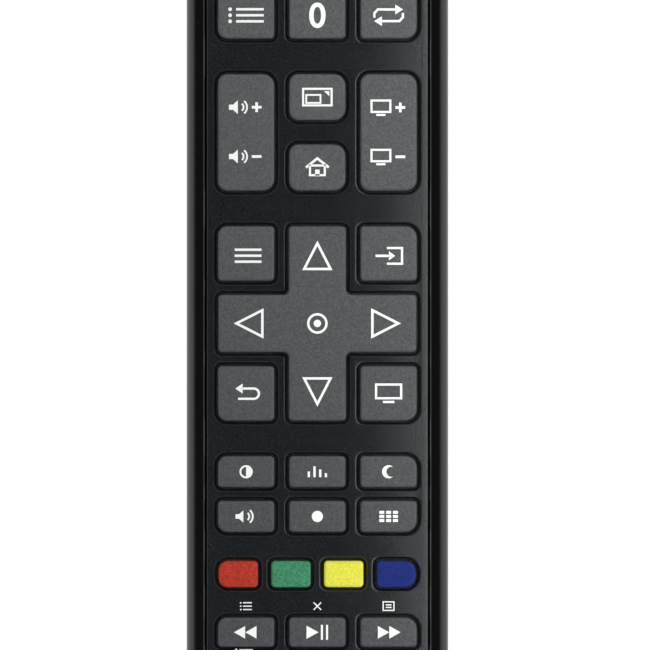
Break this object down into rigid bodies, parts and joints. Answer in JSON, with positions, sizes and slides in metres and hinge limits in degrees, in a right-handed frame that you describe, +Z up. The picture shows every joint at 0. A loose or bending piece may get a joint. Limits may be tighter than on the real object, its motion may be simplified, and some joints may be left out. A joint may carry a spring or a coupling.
{
  "type": "remote control",
  "caption": "Slim handheld television remote: matte face plate with rubber keys and a navigation cross, gloss two-piece housing, sliding battery cover, infrared window.",
  "frame": {"origin": "on the flat back, under the middle of the body", "axes": "+Z up through the keys, +Y towards the infrared end, +X to the right seen from above"},
  "size_m": [0.046, 0.195, 0.0199],
  "materials": {
    "gloss_housing": "polished black ABS",
    "matte_plate": "fine spark-eroded grain",
    "key_rubber": "grey silicone, satin, white print",
    "red_rubber": "red silicone",
    "green_rubber": "green silicone",
    "yellow_rubber": "yellow silicone",
    "blue_rubber": "blue silicone",
    "dark_window": "infrared-pass acrylic, almost black",
    "mat_rubber": "silicone sheet",
    "carbon_pill": "conductive rubber",
    "board_laminate": "paper laminate with green resist",
    "chip_epoxy": "moulded epoxy",
    "amber_dip": "dipped coating",
    "capacitor_sleeve": "shrink sleeve",
    "resistor_ceramic": "chip resistors",
    "lamp_lens": "clear epoxy",
    "contact_metal": "nickel-plated spring steel",
    "screw_steel": "zinc-plated",
    "cell_jacket": "plain foil jacket"
  },
  "bodies": {
    "housing": {"battery_cell_left": "cell_jacket", "battery_cell_right": "cell_jacket", "bridge_contact": "contact_metal", "capacitor": "capacitor_sleeve", "case_screws": "screw_steel", "circuit_board": "board_laminate", "control_chip": "chip_epoxy", "face_plate": "matte_plate", "ir_led": "lamp_lens", "ir_window": "dark_window", "keypad_mat": "mat_rubber", "keypad_webs": "mat_rubber", "lower_case": "gloss_housing", "negative_contact": "contact_metal", "positive_contact": "contact_metal", "resistors": "resistor_ceramic", "resonator": "amber_dip", "upper_case": "gloss_housing"},
    "power_key": {"power_key": "key_rubber"},
    "mute_key": {"mute_key": "key_rubber"},
    "digit_0_key": {"digit_0_key": "key_rubber"},
    "digit_1_key": {"digit_1_key": "key_rubber"},
    "digit_2_key": {"digit_2_key": "key_rubber"},
    "digit_3_key": {"digit_3_key": "key_rubber"},
    "digit_4_key": {"digit_4_key": "key_rubber"},
    "digit_5_key": {"digit_5_key": "key_rubber"},
    "digit_6_key": {"digit_6_key": "key_rubber"},
    "digit_7_key": {"digit_7_key": "key_rubber"},
    "digit_8_key": {"digit_8_key": "key_rubber"},
    "digit_9_key": {"digit_9_key": "key_rubber"},
    "list_key": {"list_key": "key_rubber"},
    "recall_key": {"recall_key": "key_rubber"},
    "aspect_key": {"aspect_key": "key_rubber"},
    "home_key": {"home_key": "key_rubber"},
    "menu_key": {"menu_key": "key_rubber"},
    "source_key": {"source_key": "key_rubber"},
    "exit_key": {"exit_key": "key_rubber"},
    "display_key": {"display_key": "key_rubber"},
    "picture_key": {"picture_key": "key_rubber"},
    "sound_key": {"sound_key": "key_rubber"},
    "sleep_key": {"sleep_key": "key_rubber"},
    "audio_key": {"audio_key": "key_rubber"},
    "record_key": {"record_key": "key_rubber"},
    "guide_key": {"guide_key": "key_rubber"},
    "red_key": {"red_key": "red_rubber"},
    "green_key": {"green_key": "green_rubber"},
    "yellow_key": {"yellow_key": "yellow_rubber"},
    "blue_key": {"blue_key": "blue_rubber"},
    "rewind_key": {"rewind_key": "key_rubber"},
    "play_key": {"play_key": "key_rubber"},
    "forward_key": {"forward_key": "key_rubber"},
    "previous_key": {"previous_key": "key_rubber"},
    "stop_key": {"stop_key": "key_rubber"},
    "next_key": {"next_key": "key_rubber"},
    "volume_rocker": {"volume_rocker": "key_rubber"},
    "channel_rocker": {"channel_rocker": "key_rubber"},
    "cross_centre_pill": {"cross_centre_pill": "carbon_pill"},
    "cross_side_pills": {"cross_side_pills": "carbon_pill"},
    "cross_pad": {"cross_pad": "key_rubber"},
    "battery_cover": {"battery_cover": "gloss_housing"}
  },
  "joints": [
    {"name": "cover_slide", "type": "slide", "parent": "housing", "child": "battery_cover", "axis": [0, -1, 0], "range_m": [0, 0.07]},
    {"name": "cross_press", "type": "slide", "parent": "housing", "child": "cross_centre_pill", "axis": [0, 0, -1], "range_m": [0, 0.0005], "stiffness_N_per_m": 2000, "deforming": ["keypad_webs"]},
    {"name": "cross_tilt_updown", "type": "hinge", "parent": "cross_centre_pill", "child": "cross_side_pills", "pos_m": [0, -0.01632, 0.01594], "axis": [1, 0, 0], "range_deg": [-2.3, 2.3], "stiffness_Nm_per_rad": 0.5, "deforming": ["keypad_webs"]},
    {"name": "cross_tilt_sideways", "type": "hinge", "parent": "cross_side_pills", "child": "cross_pad", "pos_m": [0, -0.01632, 0.01594], "axis": [0, 1, 0], "range_deg": [-2.3, 2.3], "stiffness_Nm_per_rad": 0.5, "deforming": ["keypad_webs"]},
    {"name": "volume_rock", "type": "hinge", "parent": "housing", "child": "volume_rocker", "pos_m": [-0.0125, 0.01721, 0.01644], "axis": [1, 0, 0], "range_deg": [-4.5, 4.5], "stiffness_Nm_per_rad": 0.15, "deforming": ["keypad_webs"]},
    {"name": "channel_rock", "type": "hinge", "parent": "housing", "child": "channel_rocker", "pos_m": [0.0125, 0.01721, 0.01644], "axis": [1, 0, 0], "range_deg": [-4.5, 4.5], "stiffness_Nm_per_rad": 0.15, "deforming": ["keypad_webs"]},
    {"name": "power_press", "type": "slide", "parent": "housing", "child": "power_key", "axis": [0, 0, -1], "range_m": [0, 0.00095], "stiffness_N_per_m": 1200, "deforming": ["keypad_webs"]},
    {"name": "digit_5_press", "type": "slide", "parent": "housing", "child": "digit_5_key", "axis": [0, 0, -1], "range_m": [0, 0.00095], "stiffness_N_per_m": 1200, "deforming": ["keypad_webs"]},
    {"name": "menu_press", "type": "slide", "parent": "housing", "child": "menu_key", "axis": [0, 0, -1], "range_m": [0, 0.00095], "stiffness_N_per_m": 1200, "deforming": ["keypad_webs"]},
    {"name": "red_press", "type": "slide", "parent": "housing", "child": "red_key", "axis": [0, 0, -1], "range_m": [0, 0.00095], "stiffness_N_per_m": 1200, "deforming": ["keypad_webs"]},
    {"name": "play_press", "type": "slide", "parent": "housing", "child": "play_key", "axis": [0, 0, -1], "range_m": [0, 0.00095], "stiffness_N_per_m": 1200, "deforming": ["keypad_webs"]},
    {"name": "home_press", "type": "slide", "parent": "housing", "child": "home_key", "axis": [0, 0, -1], "range_m": [0, 0.00095], "stiffness_N_per_m": 1200, "deforming": ["keypad_webs"]},
    {"name": "mute_press", "type": "slide", "parent": "housing", "child": "mute_key", "axis": [0, 0, -1], "range_m": [0, 0.00095], "stiffness_N_per_m": 1200, "deforming": ["keypad_webs"]},
    {"name": "digit_0_press", "type": "slide", "parent": "housing", "child": "digit_0_key", "axis": [0, 0, -1], "range_m": [0, 0.00095], "stiffness_N_per_m": 1200, "deforming": ["keypad_webs"]},
    {"name": "digit_1_press", "type": "slide", "parent": "housing", "child": "digit_1_key", "axis": [0, 0, -1], "range_m": [0, 0.00095], "stiffness_N_per_m": 1200, "deforming": ["keypad_webs"]},
    {"name": "digit_2_press", "type": "slide", "parent": "housing", "child": "digit_2_key", "axis": [0, 0, -1], "range_m": [0, 0.00095], "stiffness_N_per_m": 1200, "deforming": ["keypad_webs"]},
    {"name": "digit_3_press", "type": "slide", "parent": "housing", "child": "digit_3_key", "axis": [0, 0, -1], "range_m": [0, 0.00095], "stiffness_N_per_m": 1200, "deforming": ["keypad_webs"]},
    {"name": "digit_4_press", "type": "slide", "parent": "housing", "child": "digit_4_key", "axis": [0, 0, -1], "range_m": [0, 0.00095], "stiffness_N_per_m": 1200, "deforming": ["keypad_webs"]},
    {"name": "digit_6_press", "type": "slide", "parent": "housing", "child": "digit_6_key", "axis": [0, 0, -1], "range_m": [0, 0.00095], "stiffness_N_per_m": 1200, "deforming": ["keypad_webs"]},
    {"name": "digit_7_press", "type": "slide", "parent": "housing", "child": "digit_7_key", "axis": [0, 0, -1], "range_m": [0, 0.00095], "stiffness_N_per_m": 1200, "deforming": ["keypad_webs"]},
    {"name": "digit_8_press", "type": "slide", "parent": "housing", "child": "digit_8_key", "axis": [0, 0, -1], "range_m": [0, 0.00095], "stiffness_N_per_m": 1200, "deforming": ["keypad_webs"]},
    {"name": "digit_9_press", "type": "slide", "parent": "housing", "child": "digit_9_key", "axis": [0, 0, -1], "range_m": [0, 0.00095], "stiffness_N_per_m": 1200, "deforming": ["keypad_webs"]},
    {"name": "list_press", "type": "slide", "parent": "housing", "child": "list_key", "axis": [0, 0, -1], "range_m": [0, 0.00095], "stiffness_N_per_m": 1200, "deforming": ["keypad_webs"]},
    {"name": "recall_press", "type": "slide", "parent": "housing", "child": "recall_key", "axis": [0, 0, -1], "range_m": [0, 0.00095], "stiffness_N_per_m": 1200, "deforming": ["keypad_webs"]},
    {"name": "aspect_press", "type": "slide", "parent": "housing", "child": "aspect_key", "axis": [0, 0, -1], "range_m": [0, 0.00095], "stiffness_N_per_m": 1200, "deforming": ["keypad_webs"]},
    {"name": "source_press", "type": "slide", "parent": "housing", "child": "source_key", "axis": [0, 0, -1], "range_m": [0, 0.00095], "stiffness_N_per_m": 1200, "deforming": ["keypad_webs"]},
    {"name": "exit_press", "type": "slide", "parent": "housing", "child": "exit_key", "axis": [0, 0, -1], "range_m": [0, 0.00095], "stiffness_N_per_m": 1200, "deforming": ["keypad_webs"]},
    {"name": "display_press", "type": "slide", "parent": "housing", "child": "display_key", "axis": [0, 0, -1], "range_m": [0, 0.00095], "stiffness_N_per_m": 1200, "deforming": ["keypad_webs"]},
    {"name": "picture_press", "type": "slide", "parent": "housing", "child": "picture_key", "axis": [0, 0, -1], "range_m": [0, 0.00095], "stiffness_N_per_m": 1200, "deforming": ["keypad_webs"]},
    {"name": "sound_press", "type": "slide", "parent": "housing", "child": "sound_key", "axis": [0, 0, -1], "range_m": [0, 0.00095], "stiffness_N_per_m": 1200, "deforming": ["keypad_webs"]},
    {"name": "sleep_press", "type": "slide", "parent": "housing", "child": "sleep_key", "axis": [0, 0, -1], "range_m": [0, 0.00095], "stiffness_N_per_m": 1200, "deforming": ["keypad_webs"]},
    {"name": "audio_press", "type": "slide", "parent": "housing", "child": "audio_key", "axis": [0, 0, -1], "range_m": [0, 0.00095], "stiffness_N_per_m": 1200, "deforming": ["keypad_webs"]},
    {"name": "record_press", "type": "slide", "parent": "housing", "child": "record_key", "axis": [0, 0, -1], "range_m": [0, 0.00095], "stiffness_N_per_m": 1200, "deforming": ["keypad_webs"]},
    {"name": "guide_press", "type": "slide", "parent": "housing", "child": "guide_key", "axis": [0, 0, -1], "range_m": [0, 0.00095], "stiffness_N_per_m": 1200, "deforming": ["keypad_webs"]},
    {"name": "green_press", "type": "slide", "parent": "housing", "child": "green_key", "axis": [0, 0, -1], "range_m": [0, 0.00095], "stiffness_N_per_m": 1200, "deforming": ["keypad_webs"]},
    {"name": "yellow_press", "type": "slide", "parent": "housing", "child": "yellow_key", "axis": [0, 0, -1], "range_m": [0, 0.00095], "stiffness_N_per_m": 1200, "deforming": ["keypad_webs"]},
    {"name": "blue_press", "type": "slide", "parent": "housing", "child": "blue_key", "axis": [0, 0, -1], "range_m": [0, 0.00095], "stiffness_N_per_m": 1200, "deforming": ["keypad_webs"]},
    {"name": "rewind_press", "type": "slide", "parent": "housing", "child": "rewind_key", "axis": [0, 0, -1], "range_m": [0, 0.00095], "stiffness_N_per_m": 1200, "deforming": ["keypad_webs"]},
    {"name": "forward_press", "type": "slide", "parent": "housing", "child": "forward_key", "axis": [0, 0, -1], "range_m": [0, 0.00095], "stiffness_N_per_m": 1200, "deforming": ["keypad_webs"]},
    {"name": "previous_press", "type": "slide", "parent": "housing", "child": "previous_key", "axis": [0, 0, -1], "range_m": [0, 0.00095], "stiffness_N_per_m": 1200, "deforming": ["keypad_webs"]},
    {"name": "stop_press", "type": "slide", "parent": "housing", "child": "stop_key", "axis": [0, 0, -1], "range_m": [0, 0.00095], "stiffness_N_per_m": 1200, "deforming": ["keypad_webs"]},
    {"name": "next_press", "type": "slide", "parent": "housing", "child": "next_key", "axis": [0, 0, -1], "range_m": [0, 0.00095], "stiffness_N_per_m": 1200, "deforming": ["keypad_webs"]}
  ]
}
